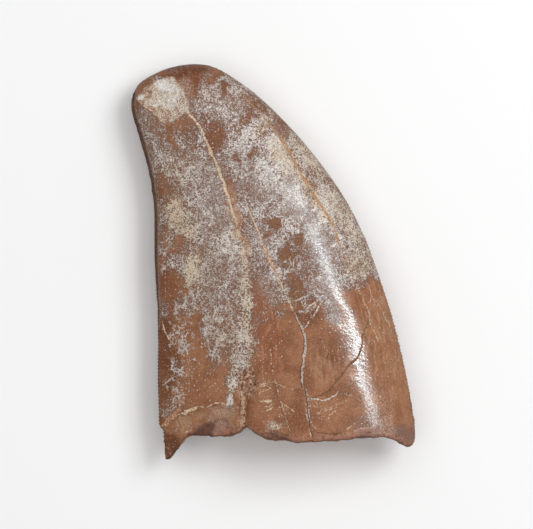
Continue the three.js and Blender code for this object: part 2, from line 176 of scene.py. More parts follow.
# Cracks and veins, each along its points. Where two meet, the nearer one shows.
lines = {
    "mainCrack": vein("cream", 0.2, 0.07, 0.1, [(-131, 228), (-122, 216), (-110, 199), (-98, 174),
        (-88, 150), (-79, 126), (-70, 101), (-62, 78), (-58, 64)], step=(-0.06, 1), taper=(0.6, 5)),
    "innerCrackTop": vein("cream", 0.1, 0.05, 0.1, [(-44, 92), (-35, 72), (-29, 58), (-21, 39), (-14, 20)]),
    "innerCrackWide": vein("peach", 0.2, 0.07, 0.05, [(-15, 23), (-12, 15), (-5, -1), (3, -18)]),
    "innerCrack": vein("cream", 0.15, 0.07, 0.05, [(3, -16), (12, -36), (20, -56),
        (29, -75)], step=(0.12, 1)),
    "innerCrackLow": vein("grey", 0.17, 0.08, 0.03, [(44, -188), (42, -172), (44, -153), (48, -133),
        (47, -115), (42, -99), (36, -88), (29, -75)], step=(-0.12, 1), shade=0.22, taper=(1, 1.5)),
    "innerCrackEnd": vein("dark", 0.1, 0.14, 0.4, [(43.5, -182), (48, -203), (51.5, -232), (54, -250),
        (58, -275)]),
    "innerCrackBeads": vein("grey", 0.07, 0, 0.45, [(46.5, -188), (50.5, -204), (54, -232), (56, -246)]),
    "outerCrack": vein("orange", 0.19, 0.09, 0.1, [(-54, 258), (-38, 242), (-23, 227), (-12, 215), (0, 200),
        (15, 179), (30, 152), (42, 130), (55, 109), (68, 88), (79, 73), (88, 58), (94, 42), (102, 20),
        (110, 0)], taper=(12, 7)),
    "flakeEdge": vein("dark", 0.07, 0.04, 0.1, [(148, -82), (140, -97), (135, -113), (132, -128),
        (129, -139), (123, -149), (114, -156), (104, -167), (97, -177), (90, -186), (81, -195), (70, -202),
        (58, -205), (49, -207)], step=(-0.2, 2.6)),
    "underFlake": vein("white", 0.09, 0.03, 0.15, [(50, -204), (61, -208), (73, -209), (83, -206),
        (92, -201), (100, -194)], step=(0.08, 1)),
    "flakeTail": vein("dark", 0.07, 0.03, 0.4, [(100, -198), (110, -199), (123, -203)]),
    "lowArc": vein("dark", 0.08, 0.06, 0.15, [(56, -251), (65, -255), (78, -259), (95, -260),
        (105, -258)], step=(0.12, 1.2)),
    "chipLine": vein("cream", 0.07, 0.05, 0.2, [(-171, -88), (-167, -102), (-161, -113), (-155, -122),
        (-148, -130)], step=(-0.1, 1.5), taper=(0.5, 2.5)),
    "lobeLine": vein("dark", 0.06, 0.05, 0.5, [(-1, -170), (1, -183), (5, -197), (9, -212), (14, -228),
        (19, -242), (22, -259)]),
    "lobeBeads": vein("pale", 0.07, 0, 0.5, [(-5, -126), (-4, -152), (0, -170), (3, -183), (7, -197),
        (11, -212), (16, -228), (21, -242), (24, -257)]),
    "lobeArch": vein("pale", 0.08, 0.02, 0.35, [(-36, -200), (-30, -192), (-20, -186), (-10, -181),
        (0, -182), (10, -186), (20, -191), (36, -194)], step=(0.1, 1.2)),
    "lobeBase": vein("dark", 0.07, 0.1, 0.05, [(-26, -260), (-18, -259.5), (-8, -258), (8, -257), (18, -260),
        (27, -264)]),
    "baseSeam": vein("cream", 0.07, 0.04, 0.3, [(-169, -251), (-159, -244), (-152, -238), (-143, -233),
        (-133, -228), (-124, -223), (-114, -220), (-102, -220), (-92, -215), (-79, -213), (-70, -218),
        (-65, -213), (-63, -205), (-59, -195)]),
    "baseSeamSide": vein("clay", 0.32, 0, 0.1, [(-172, -252), (-163, -246), (-154, -236), (-146, -229),
        (-138, -224)]),
    "baseSeamCrack": vein("dark", 0.05, 0.06, 0.3, [(-157, -242), (-152, -236), (-143, -231), (-133, -227)]),
    "baseSeamWide": vein("cream", 0.34, 0, 0.15, [(-142, -233), (-132, -228), (-122, -224),
        (-115, -221)], taper=(1, 0.4)),
    "scarEdge": vein("cream", 0.11, 0, 0.1, [(-207, 245), (-194, 233), (-177, 220), (-162, 207)]),
    "scarFoot": vein("cream", 0.11, 0, 0.2, [(-144, 218), (-136, 222), (-131, 228)]),
    "notchFill": vein("sand", 0.22, 0, 0.6, [(-52, -193), (-47, -203), (-45, -214), (-45, -228), (-46, -240),
        (-45, -252)]),
    "notchRust": vein("russet", 0.24, 0, 0.1, [(-55, -212), (-55, -226), (-54, -240), (-54, -250)]),
    "notchGap": vein("dark", 0.13, 0.1, 0.45, [(-49, -209), (-50, -222), (-50, -234), (-49, -246)]),
    "notchSide": vein("sand", 0.17, 0, 0.1, [(-39, -210), (-36, -203), (-32, -198), (-27, -193)]),
}
# Fine threads of mineral that lie on the surface: their half width, and where each one runs.
threads = {
    "white": (0.1, [
        [(45, -102), (50, -96), (58, -86), (64, -78), (68, -69), (74, -59)],
        [(46, -81), (52, -71), (54, -66), (60, -63), (66, -59)],
        [(29, -61), (39, -58), (45, -55), (47, -51)],
        [(-128, -106), (-134, -115), (-137, -124), (-143, -130), (-145, -142)],
        [(-150, -96), (-149, -104), (-142, -111), (-136, -118), (-133, -132), (-128, -143)],
        [(-132, -158), (-129, -152), (-122, -149), (-114, -151)],
        [(-144, -156), (-152, -158), (-155, -164), (-150, -168), (-140, -167), (-132, -172)],
        [(-149, -174), (-156, -180), (-164, -185), (-170, -190)]]),
    "pale": (0.08, [
        [(60, -230), (72, -228), (82, -222), (92, -216), (108, -211)],
        [(74, -240), (82, -235), (89, -227), (95, -220)], [(56, -243), (66, -250), (74, -252)],
        [(55, -216), (66, -219), (76, -216)], [(104, -257), (113, -249), (126, -242)],
        [(-22, -189), (-14, -186), (-8, -187), (-3, -193)],
        [(-24, -204), (-18, -196), (-11, -194), (-6, -198)], [(8, -210), (16, -216), (26, -222), (33, -228)],
        [(66, -194), (69, -189), (74, -187)], [(127, -42), (136, -60), (144, -80), (148, -98)],
        [(145, -38), (148, -54), (145, -66)], [(148, -50), (163, -72), (174, -94), (182, -114)],
        [(142, -90), (153, -108), (159, -126)], [(-166, 292), (-163, 285), (-160, 278)],
        [(-146, -189), (-149, -204), (-146, -222)], [(-140, -186), (-135, -200), (-133, -218)],
        [(-126, -234), (-124, -246), (-126, -256), (-134, -260)],
        [(-151, -241), (-145, -246), (-144, -253), (-149, -261)]]),
    "cream": (0.2, [
        [(-12, -226), (-5, -223), (2, -218)], [(-18, -211), (-10, -210), (-1, -209)]]),
}
for kind, (half, runs) in threads.items():
    for i, points in enumerate(runs):
        lines[kind + str(i)] = vein(kind, half, 0, 0.3, points)
# The pale band of mineral that clings to the left wall of the main crack.
band = {
    "points": [(-65, 88), (-60, 68), (-53, 46), (-48, 24), (-44, 4), (-41, -30), (-39, -70), (-38, -110),
        (-40, -140), (-43, -164)],
    "half": (0.25, 0.6), "over": (0, 8)}
# Places with a border of their own: the stained wedge by the inner crack, the scar at the tip, the pit on
# the main crack, the maroon and the khaki patch by the break, and the flake that is missing there.
outlines = {
    "vee": [(23, -56), (32, -80), (45, -102), (58, -86), (68, -68), (76, -54), (50, -44)],
    "scar": [(-207, 245), (-197, 260), (-184, 269), (-166, 276), (-151, 277), (-145, 267), (-136, 252),
        (-128, 239), (-129, 226), (-142, 218), (-162, 207), (-182, 223)],
    "pit": [(-40, -157), (-33, -162), (-27, -172), (-24, -182), (-27, -194), (-36, -203), (-42, -206),
        (-48, -200), (-53, -190), (-52, -177), (-47, -165)],
    "maroon": [(-126, -270), (-123, -258), (-114, -249), (-102, -244), (-90, -239), (-86, -248), (-92, -260),
        (-94, -270)],
    "khaki": [(-147, -242), (-142, -235), (-126, -234), (-123, -252), (-134, -261), (-143, -259)],
    "baseFlake": [(-190, -246), (-171, -250), (-160, -242), (-149, -229), (-135, -224), (-118, -220),
        (-97, -215), (-76, -212), (-69, -217), (-60, -226), (-58, -244), (-59, -280), (-100, -340),
        (-220, -340)],
}

meshSet = {
    "voxel": 0.37,  # between the points of the even skin
    "crisp": (11, 20),  # bends between neighbouring points, in degrees, from which an edge stays sharp
    "smoothing": 60,  # rounds
    "bands": (0.6, 0.28),  # the skin is made finer this near to a line, once and twice
    "rims": (0.7, 0.25),  # and this near to the two cutting edges
    "levelled": (  # the solid's grooves along these give way to finer ones
        "mainCrack", "innerCrackTop", "innerCrackWide", "innerCrack", "innerCrackLow", "innerCrackEnd",
        "outerCrack"),
}


def select(thing):
    bpy.ops.object.select_all(action="DESELECT")
    thing.select_set(True)
    bpy.context.view_layer.objects.active = thing


def read(items, what="co"):
    # a triple of numbers from each point or face of a mesh
    values = np.zeros(len(items) * 3, np.float32)
    items.foreach_get(what, values)
    return values.reshape(-1, 3).astype(float)


def readEdges(mesh):
    edges = np.zeros(len(mesh.edges) * 2, np.int32)
    mesh.edges.foreach_get("vertices", edges)
    return edges.reshape(-1, 2)


def writePoints(mesh, places):
    mesh.vertices.foreach_set("co", (places * mm).ravel().astype(np.float32))
    mesh.update()


def relax(places, edges, share, rounds):
    # draws each point towards the middle of its neighbours, by one share or by a share for each
    share = np.broadcast_to(share, len(places))[:, None]
    counts = np.bincount(edges.ravel(), minlength=len(places))[:, None]
    for _ in range(rounds):
        sums = np.zeros_like(places)
        for axis in range(3):
            for here, there in ((0, 1), (1, 0)):
                sums[:, axis] += np.bincount(edges[:, here], places[edges[:, there], axis], len(places))
        places = places + share * (sums / counts - places)
    return places


def evenSkin():
    # a copy of the solid, as an even skin of small faces
    select(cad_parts["tooth"])
    bpy.ops.object.duplicate()
    skin = bpy.context.object
    skin.name = "toothEnamel"
    skin.data.name = "toothEnamel"
    skin.parent = None
    for key in list(skin.keys()):
        del skin[key]
    skin.data.materials.clear()
    bpy.ops.object.mode_set(mode="EDIT")
    bpy.ops.mesh.select_all(action="SELECT")
    bpy.ops.mesh.remove_doubles(threshold=0.002 * mm)
    bpy.ops.object.mode_set(mode="OBJECT")
    bpy.ops.object.modifier_add(type="REMESH")
    remesh = skin.modifiers[0]
    remesh.mode = "VOXEL"
    remesh.voxel_size = meshSet["voxel"] * mm
    bpy.ops.object.modifier_apply(modifier=remesh.name)
    return skin


def softenFacets(skin):
    # smooths the broad faces, and leaves the real edges sharp
    mesh = skin.data
    edges = readEdges(mesh)
    places = read(mesh.vertices) / mm
    places = relax(places, edges, 0.5, 2)
    writePoints(mesh, places)
    normals = read(mesh.vertices, "normal")
    bend = np.degrees(np.arccos(np.clip(np.sum(normals[edges[:, 0]] * normals[edges[:, 1]], axis=1), -1, 1)))
    crisp = np.zeros(len(places))
    for end in (0, 1):
        np.maximum.at(crisp, edges[:, end], bend)
    crisp = ramp(*meshSet["crisp"], crisp)
    for name in meshSet["levelled"]:
        away = nearLine(places[:, :2], lines[name]["points"])[0]
        crisp *= 1 - ramp(1.1, 0.7, away) * ramp(0, 0.3, normals[:, 2]) * ramp(-23, -20, places[:, 1])
    for _ in range(2):
        wider = crisp.copy()
        for here, there in ((0, 1), (1, 0)):
            np.maximum.at(wider, edges[:, here], crisp[edges[:, there]] * 0.8)
        crisp = wider
    moved = relax(places, edges, 0.5 * (1 - crisp), meshSet["smoothing"]) - places
    shrunk = relax(moved, edges, 0.5, meshSet["smoothing"])  # the part of it that isn't facets
    writePoints(mesh, places + moved - shrunk * (1 - crisp)[:, None])


def rimLines(places):
    # the hind and the front cutting edge and the edge of the break, read from the skin's outline
    rims = {"hind": [], "front": [], "base": []}
    for y in np.arange(-27, 29.6, 0.5):
        row = places[np.abs(places[:, 1] - y) < 0.25]
        rims["hind"].append(row[row[:, 0].argmin()])
        rims["front"].append(row[row[:, 0].argmax()])
    for x in np.arange(-17, 21.1, 0.5):
        row = places[np.abs(places[:, 0] - x) < 0.25]
        rims["base"].append(row[row[:, 1].argmin()])
    return {name: np.array(rim) for name, rim in rims.items()}


def fromRim(places, rim):
    # how far off a cutting edge each place is, seen from above and in height, and how far along the edge
    away, _, along, _ = nearLine(places[:, :2], rim[:, :2])
    return away, places[:, 2] - np.interp(places[:, 1], rim[:, 1], rim[:, 2]), along


def refine(skin, chosen):
    mesh = skin.data
    for items in (mesh.vertices, mesh.edges):
        items.foreach_set("select", np.zeros(len(items), bool))
    mesh.polygons.foreach_set("select", chosen)
    select(skin)
    bpy.ops.object.mode_set(mode="EDIT")
    bpy.ops.mesh.select_mode(type="FACE")
    bpy.ops.mesh.subdivide(number_cuts=1)
    bpy.ops.object.mode_set(mode="OBJECT")


def refineSkin(skin, rims):
    # makes the skin finer along the lines, in the scar and the pit, and along the two cutting edges
    for turn, reach in enumerate(meshSet["bands"]):
        centres = read(skin.data.polygons, "center") / mm
        near = np.zeros(len(centres), bool)
        for line in lines.values():
            if line["groove"] > 0 and (turn == 0 or line["half"] > 0.15 or line["mineral"] == "dark"):
                near |= nearLine(centres[:, :2], line["points"])[0] < reach
        if turn == 0:
            for outline in ("scar", "pit"):
                near |= insideOf(centres[:, :2], outlines[outline]) > -0.4
        near &= read(skin.data.polygons, "normal")[:, 2] > 0.1
        for name in ("hind", "front"):
            away, above, _ = fromRim(centres, rims[name])
            near |= (away < meshSet["rims"][turn]) & (np.abs(above) < 1.5 * meshSet["rims"][turn])
        refine(skin, near)


skin = evenSkin()
print("tooth: an even skin of", len(skin.data.polygons), "faces")
softenFacets(skin)
rims = rimLines(read(skin.data.vertices) / mm)
refineSkin(skin, rims)
skin.data.calc_loop_triangles()
print("tooth:", len(skin.data.loop_triangles), "triangles")

# The relief that is worked into the skin, in millimetres. Lifts go outwards.
reliefSet = {
    "wobble": ((0.2, 1.3), (0.09, 0.45)),  # how far lines stray, and over what length
    "swells": ((0.07, 5), (0.03, 2.2)),  # slow unevenness of the whole surface: height and size
    "band": 0.07,
    "scarGrain": ((0.16, 0.8), (0.12, 0.35)),
    "pitGrain": ((0.3, 0.8), (0.2, 0.4)),
    "pitFill": 0.5,
    "flakeGrain": ((0.1, 1.1), (0.08, 0.5)),
    "breakGrain": ((0.14, 1.9), (0.2, 0.8)),
    "rim": {"rounds": 5, "proud": 0.08},  # the enamel round the break, and the old root hollow inside it
    "hollow": {"at": (1.5, 6.8), "half": (7.5, 1.6), "sunk": 0.4},
    "crumbWidths": (  # across the tooth, and how far up the crumbly rim of the break reaches there
        (-14, -12.4, -9, -6.6, -5, -3, 0, 6, 10, 14, 17, 20),
        (-0.6, 1.7, 2.4, 1.4, 0.3, 0.5, 0.9, 0.8, 1, 1.6, 1.2, 0.6)),
    "pulls": (  # x, y, how far the break is drawn along y there, and the reach
        (-16, -29.8, -0.32, 1), (-4.2, -25.7, 0.5, 0.7), (-7.9, -26.9, 0.38, 1.5),
        (-11.2, -26.2, -0.26, 1.3)),
    "teeth": {"pitch": 0.52, "depth": 0.11, "reach": 0.5, "wornAbove": {"hind": -6, "front": 12}},
}


def grainAt(places, name, seed):
    layers = enumerate(reliefSet[name])
    return sum(height * noiseAt(places, size, seed + 7 * i) for i, (height, size) in layers)


def sawTeeth(places, rims):
    # how far the small teeth of the two cutting edges are cut back, between one tooth and the next
    teeth = reliefSet["teeth"]
    cut = np.zeros(len(places))
    for name, wornAbove in teeth["wornAbove"].items():
        away, above, along = fromRim(places, rims[name])
        near = ramp(teeth["reach"], 0.1, np.hypot(away, above))
        between = (0.5 + 0.5 * np.cos(2 * math.pi * along / teeth["pitch"])) ** 2
        kept = ramp(wornAbove + 6, wornAbove, places[:, 1]) * 0.75 + 0.25
        cut = np.maximum(cut, teeth["depth"] * near * between * kept * (name == "front" or kept > 0.3))
    return cut


def ellipses(spots, patches, soft=(1.35, 0.65)):
    # the greatest share that any of the soft patches gives
    share = np.zeros(len(spots))
    for *patch, percent in patches:
        x, y, across, along = tenths(patch[:4])
        turn = math.radians(sum(patch[4:]))
        dx = spots[:, 0] - x
        dy = spots[:, 1] - y
        u = (dx * math.cos(turn) + dy * math.sin(turn)) / across
        v = (dy * math.cos(turn) - dx * math.sin(turn)) / along
        share = np.maximum(share, percent / 100 * ramp(*soft, np.hypot(u, v)))
    return share


# Where the pale crust lies on the upper face. Each region is a share, a soft edge and an outline. Each patch
# is x, y, half its width, half its length, its lean to the left in degrees if it has one, and its share in
# percent.
crust = {
    # the hind edge's worn strip, which gets no crust and is painted dark as shade
    "wornShadedStrip": ((-13, -9, 0, 20, 25, 27), (-0.3, 0.3, 0.5, 0.6, 0.5, -0.3)),  # y, and how wide it is there
    "regions": [
        (0.42, 1.1, [(-96, 286), (-110, 264), (-114, 244), (-122, 226), (-110, 202), (-88, 152), (-69, 100),
            (-52, 50), (-40, 6), (-28, -30), (-14, -46), (4, -60), (20, -60), (34, -50), (50, -54),
            (66, -56), (82, -64), (98, -46), (120, -32), (144, -26), (172, -22), (200, 40), (100, 200),
            (-50, 310)]),
        (0.42, 1, [(-220, 228), (-196, 226), (-163, 204), (-138, 216), (-128, 222), (-112, 196), (-90, 148),
            (-71, 100), (-56, 50), (-46, 10), (-32, -40), (-28, -110), (-32, -148), (-48, -162), (-57, -192),
            (-68, -194), (-66, -172), (-58, -156), (-62, -140), (-78, -142), (-86, -158), (-96, -152),
            (-104, -120), (-110, -96), (-106, -66), (-122, -44), (-144, -24), (-160, 6), (-200, 40)])],
    "bare": [
        (-88, 188, 15, 25, 12, 87), (-102, 210, 9, 13, 25, 60), (-66, 112, 7.5, 26, 18, 85),
        (-52, 70, 6, 22, 18, 60), (-73, 261, 10, 7, 60, 85), (-96, 269, 4, 4, 90), (-86, 281, 15, 6, 65, 75),
        (-26, 237, 6, 12, 40, 95), (-12, 230, 3.5, 8, 25, 90), (-40, 223, 19, 10, 60, 80),
        (-52, 222, 8, 8, 50), (11, 209, 6, 14, 38, 60), (-15, 192, 8, 5, 50, 30), (-55, 153, 9, 9, 75),
        (-30, 158, 18, 8, 85, 65), (26, 0, 18, 14, 70, 60), (28, -18, 19, 11, 75, 72),
        (-12, 60, 9, 5, 50, 60), (-8, 38, 6, 7, 60), (44, 57, 10, 3.5, 85, 55), (94, 120, 6, 16, 33, 60),
        (74, 134, 9, 12, 33, 25), (58, 116, 5, 9, 30, 40), (-30, -26, 7, 44, 6, 85),
        (-16, -40, 12, 30, 8, 35), (42, -66, 24, 14, 30, 40), (-88, -124, 28, 42, 42),
        (-60, -44, 10, 16, 35), (60, 15, 12, 18, 15, 42), (64, -12, 5, 10, 20, 30),
        (-154, 186, 9, 24, 18, 90), (-139, 206, 13, 9, 60, 70), (-122, 192, 11, 22, 20, 60),
        (-168, 108, 13, 28, 85), (-148, 114, 9, 16, 20, 45), (-168, 26, 9, 28, 80),
        (-144, 24, 15, 13, 60, 70), (-110, 16, 9, 8, 40), (-72, -126, 14, 28, 40), (-156, -42, 16, 26, 90),
        (-28, 240, 16, 22, 45, 60), (-156, 174, 16, 16, 10, 25), (-174, 194, 14, 17, 10, 35),
        (48, -10, 12, 20, 10, 35), (89, -44, 12, 12, 15, 50), (-122, -78, 9, 22, 60), (-90, -64, 24, 12, 20),
        (-188, 152, 8, 26, 8, 40), (-120, -36, 7, 8, 20), (-98, -82, 10, 14, 50), (-76, -106, 5, 16, 50),
        (-60, -76, 8, 12, 40), (66, 129, 8, 16, 40, 45), (81, 117, 5, 16, 35, 80), (13, 198, 9, 16, 40, 60),
        (-146, 16, 13, 13, 50, 65)],
    "windows": [
        (3, 56, 11, 11, 20, 100), (38, 31, 8, 9.5, 100), (20, 12, 9, 7, 70, 90), (30, 1, 14, 7.5, 80, 85),
        (42, 13, 5, 6, 10, 60), (35, -41, 12.5, 15, 100), (36, 59, 5, 2, 80, 90), (46, 56, 4, 3, 70),
        (-9, 37, 4.5, 5, 80), (-27, 238, 5, 9, 35, 90), (-15, 232, 3.5, 8, 25, 80), (10, 206, 3, 9, 38, 60),
        (-73, 263, 8, 5, 60, 90), (-83, 282, 11, 4, 65, 90), (-96, 270, 5, 5, 80), (-54, 155, 8, 4, 80, 70),
        (-36, 159, 10, 3.5, 85, 70), (-14, 193, 7, 4, 50, 60)],
    "dense": [
        (-163, 263, 17, 12, -10, 70), (-154, 250, 22, 20, -20, 40), (-173, 236, 5, 4, 50),
        (-200, 249, 5, 4, 50), (-18, 205, 23, 9, 55, 26), (6, 168, 14, 34, 35, 42),
        (32, 124, 15, 26, 35, 24), (40, 88, 15, 36, 30, 28), (64, 44, 12, 30, 28, 20),
        (80, -6, 10, 30, 20, 16), (-48, 184, 19, 13, 55, 20), (-83, 242, 16, 22, 30, 12),
        (68, 74, 10, 24, 30, 24), (44, 162, 12, 30, 38, 24), (84, 96, 14, 36, 32, 20),
        (108, 64, 14, 30, 28, 12), (14, 76, 16, 10, 60, 14), (92, 40, 8, 24, 28, 22),
        (118, 14, 12, 16, 20, 10), (-144, -6, 12, 13, 20), (-148, 72, 14, 28, 8, 24), (-130, 46, 10, 13, 16),
        (-126, -16, 10, 28, -8, 34), (-163, -9, 5, 6, 40), (-150, 150, 20, 13, 20, 12),
        (-108, 174, 10, 24, 15, 10), (-42, -50, 8, 90, 3, 6), (-60, -12, 12, 20, 6, 20),
        (-63, -183, 7, 12, 15, 50), (-64, -209, 6, 10, 90), (-165, -76, 7, 13, 36),
        (-132, -64, 15, 18, 20, 22), (-138, -130, 6, 6, 14), (-148, -162, 8, 8, 40, 12),
        (-163, -228, 8, 8, 20), (-148, -204, 3, 16, -5, 8), (-4, 128, 19, 30, 30, 28),
        (-32, 196, 19, 12, 50, 40), (-52, 134, 13, 18, 20, 26), (-116, 106, 18, 36, 12, 18),
        (-94, 136, 12, 24, 15, 12), (-86, 24, 28, 44, 8), (-63, 28, 11, 38, 14, 20),
        (26, 56, 12, 16, 30, 24), (56, 42, 8, 24, 28, 16), (-4, 106, 16, 18, 30, 16),
        (-32, -10, 8, 20, 10, 26), (88, -74, 9, 18, 12, 30), (-122, 234, 8, 14, 10, 28),
        (-104, 256, 12, 16, 20, 14), (4, 32, 10, 10, 16), (-180, 136, 8, 16, 12), (-3, -248, 9, 8, 34),
        (-76, -253, 15, 9, 20), (-136, 228, 10, 9, 30), (-56, -124, 9, 32, 16), (0, 14, 8, 12, 20, 16),
        (-18, -84, 10, 8, 14), (12, -80, 14, 10, 12)],
    "film": [
        (-92, 94, 28, 56, 10, 90), (-114, 132, 28, 22, 15, 60), (-24, 124, 28, 46, 25, 90),
        (-86, 0, 34, 64, 50), (76, 46, 20, 64, 28, 60), (28, 94, 24, 52, 32, 90), (6, 166, 18, 36, 35, 60),
        (94, 80, 18, 60, 32, 50), (-16, 40, 20, 46, 20, 50), (-24, -22, 16, 42, 10, 50),
        (-70, -96, 24, 44, 15), (56, 172, 13, 46, 38, 50), (-190, 208, 12, 24, 10, 60),
        (-80, 240, 24, 32, 40, 40), (-136, 246, 16, 24, 30), (-96, 220, 20, 24, 30, 45),
        (124, 0, 26, 24, 30, 40), (-168, 162, 20, 26, 10, 40), (62, -30, 22, 32, 10, 35),
        (89, -70, 10, 26, 12, 80)],
    "cream": [
        (-149, 72, 17, 30, 8, 100), (-130, 44, 13, 16, 90), (-125, -18, 13, 30, -8, 75),
        (16, 154, 14, 36, 35, 85), (62, 96, 11, 40, 33, 85), (-16, 206, 20, 10, 55, 70),
        (52, 160, 13, 44, 38, 60), (130, -6, 24, 16, 20, 60), (-40, -70, 9, 95, 3, 90),
        (-74, -120, 30, 46, 45), (-138, -90, 24, 36, 35), (-60, -170, 11, 36, 8, 90), (-162, -9, 9, 9, 60),
        (-3, -248, 13, 11, 100), (-76, -253, 20, 12, 70), (-150, 130, 32, 26, 20, 30),
        (-116, 254, 12, 16, 20, 40), (-54, 44, 7, 46, 14, 90), (108, 66, 14, 46, 30, 60)],
    "olive": [
        (-144, 134, 44, 40, 15, 50), (-146, 60, 30, 40, 5, 70), (-94, 24, 36, 60, 5, 60),
        (-108, -20, 32, 40, 70), (-178, 204, 20, 34, 15, 50), (86, 120, 20, 80, 35, 50),
        (130, 10, 26, 34, 25, 50), (-84, 256, 20, 24, 50, 50), (-38, 250, 10, 40, 50, 50)],
}
# What colours the enamel itself, in the same kind of patches. The lit patches are painted light, the veil
# by the lower streak is partly painted sheen, and one dark patch below the flake's edge is partly painted
# shade.
stains = {
    "red": [
        (-14, -90, 24, 86, 8, 90), (-136, 290, 50, 18, 90), (-122, 266, 14, 26, 10, 80),
        (-86, 170, 12, 42, 18, 50), (-60, 106, 11, 42, 20, 80), (-36, 10, 13, 60, 10, 70),
        (-164, -34, 14, 34, 60), (-124, -198, 30, 20, 40), (34, -232, 18, 28, 60), (-32, -220, 10, 34, 50),
        (142, -52, 26, 16, 20, 50)],
    "dark": [
        (-130, 289, 33, 18, 100), (-120, 270, 12, 18, 10, 60), (-186, 282, 24, 8, -25, 30),
        (3, 54, 11, 12, 60), (38, 31, 11, 12, 60), (26, 11, 16, 12, 60, 60), (35, -37, 15, 14, 65),
        (-55, 153, 10, 10, 40), (-73, 261, 12, 8, 60, 50), (-210, 240, 10, 34, 5, 60),
        (-122, 194, 12, 20, 20, 35), (54, -74, 19, 20, 60), (-24, 234, 16, 18, 40, 50),
        # (96, -138) below the flake's edge is darker old enamel and partly painted shade
        (96, -138, 17, 17, -25, 55), (-166, -160, 22, 90, 85), (-146, -100, 22, 40, 40),
        (-160, -36, 16, 34, 40), (-152, -284, 17, 20, 100), (4, -266, 22, 5, -6, 90),
        (-88, 188, 15, 25, 12, 50), (-170, 108, 12, 30, 30), (74, -166, 2.5, 10, 70), (66, -120, 18, 30, 25),
        (38, 0, 32, 26, 50), (-150, -252, 5, 5, 40), (32, -236, 16, 26, 35), (-28, -226, 12, 30, 12)],
    "purple": [
        (176, -260, 50, 15, -4, 90), (187, -260, 16, 10, 30, 100), (-88, -250, 24, 10, 50),
        (132, -246, 16, 16, 60), (-76, -136, 26, 26, 30), (-16, -30, 20, 40, 8, 45)],
    "veinlets": [
        (-140, -110, 18, 46, 75), (-148, -180, 14, 44, 45), (50, -54, 22, 22, 10, 50), (26, -6, 22, 12, 60),
        (10, 34, 18, 14, 50), (-80, -110, 34, 50, 50), (-164, 10, 12, 34, 50), (98, 90, 20, 70, 32, 70),
        (-40, 226, 32, 24, 50, 30), (-124, -64, 16, 20, 60)],
    "strays": [
        (-12, -106, 28, 70, 8, 60), (84, -110, 22, 46, 8, 40), (166, -140, 28, 100, 9, 30),
        (-136, -80, 34, 60, 60), (-90, 186, 20, 32, 15, 80), (42, -74, 24, 26, 70), (4, -234, 26, 22, 30),
        (2, -74, 26, 18, 80), (-120, -170, 50, 46, 80), (-154, -276, 16, 20, 40), (-86, -252, 30, 14, 70),
        (-158, -224, 10, 22, 100), (-156, -20, 18, 50, 70), (-168, 106, 12, 26, 70),
        (-62, 114, 12, 30, 20, 70), (152, -246, 20, 12, 80), (-144, 200, 24, 20, 60)],
    "hairs": [
        (150, -120, 40, 100, 8, 100), (-8, -120, 22, 60, 4, 70), (76, -156, 20, 30, 80),
        (-136, -186, 26, 44, 60), (180, -180, 24, 60, 12, 60)],
    # pale veils of film; the patches on the right by the lower end of the streak are partly painted sheen
    "veilAndSheen": [
        (-77, -228, 20, 14, 90), (-153, 285, 9, 3, -10, 40), (-133, 259, 9, 17, 20, 80),
        (-4, -248, 10, 9, 100), (-156, -224, 12, 18, 35), (-80, -255, 11, 6, 5, 70),
        (168, -250, 20, 15, -20, 90), (-146, -204, 6, 24, -6, 50), (0, -266, 14, 5, 60),
        (-10, -46, 14, 24, 10, 50), (166, -214, 18, 30, 12, 35), (146, -210, 14, 36, 10, 50),
        (34, -193, 7, 4, 50), (-132, -168, 7, 16, 35)],
    "blush": [
        (-58, 66, 10, 42, 14, 75), (-63, 98, 7, 16, 16, 50), (-45, 16, 7, 24, 8, 60),
        (-13, 18, 5, 16, 20, 50), (2, -16, 6, 14, 25, 70)],
    # painted light: a lit tone of the enamel on the right side, where the key light falls
    "paintedLitSide": [
        (174, -150, 24, 100, 9, 70), (136, -60, 20, 34, 10, 40), (90, -226, 36, 24, 35)],
    "tan": [
        (76, -166, 16, 18, 50), (-159, -250, 6, 9, -30, 50), (-34, -198, 8, 7, 70), (-153, -256, 7, 6, 80),
        (-60, -222, 6, 14, 60), (-4, -247, 8, 7, 50), (-186, 272, 16, 9, -40, 35),
        (170, -120, 24, 70, 10, 25), (-60, -242, 8, 18, 90), (-114, -232, 12, 9, 20, 60),
        (-80, -233, 24, 13, 70)],
}
# Stains with a border: the kind, the outline, the share, and where its edge starts and ends.
borderedStains = (("dark", "vee", 0.6, -0.1, 0.15), ("dark", "maroon", 1, -0.2, 0.25),
                  ("tan", "khaki", 1, -0.1, 0.12))
# How far the patches' borders stray, and over what length, and how the bare windows' borders are nibbled.
straySet = ((0.9, 2.4), (0.45, 0.9))
nibbleSet = ((0.5, 0.6),)


def stray(spots, places, layers, seeds):
    # the spots, moved about a little across and along the tooth
    moved = spots.copy()
    for i, (reach, size) in enumerate(layers):
        for axis, seed in enumerate(seeds):
            moved[:, axis] += reach * noiseAt(places, size, seed + i)
    return moved


def within(spots, name, start, end):
    # 0 to 1 across the edge of an outline
    return ramp(start, end, insideOf(spots, outlines[name]))


def softly(spots, patches):
    # patches that fade out slowly
    return ellipses(spots, patches, (1.6, 0.4))


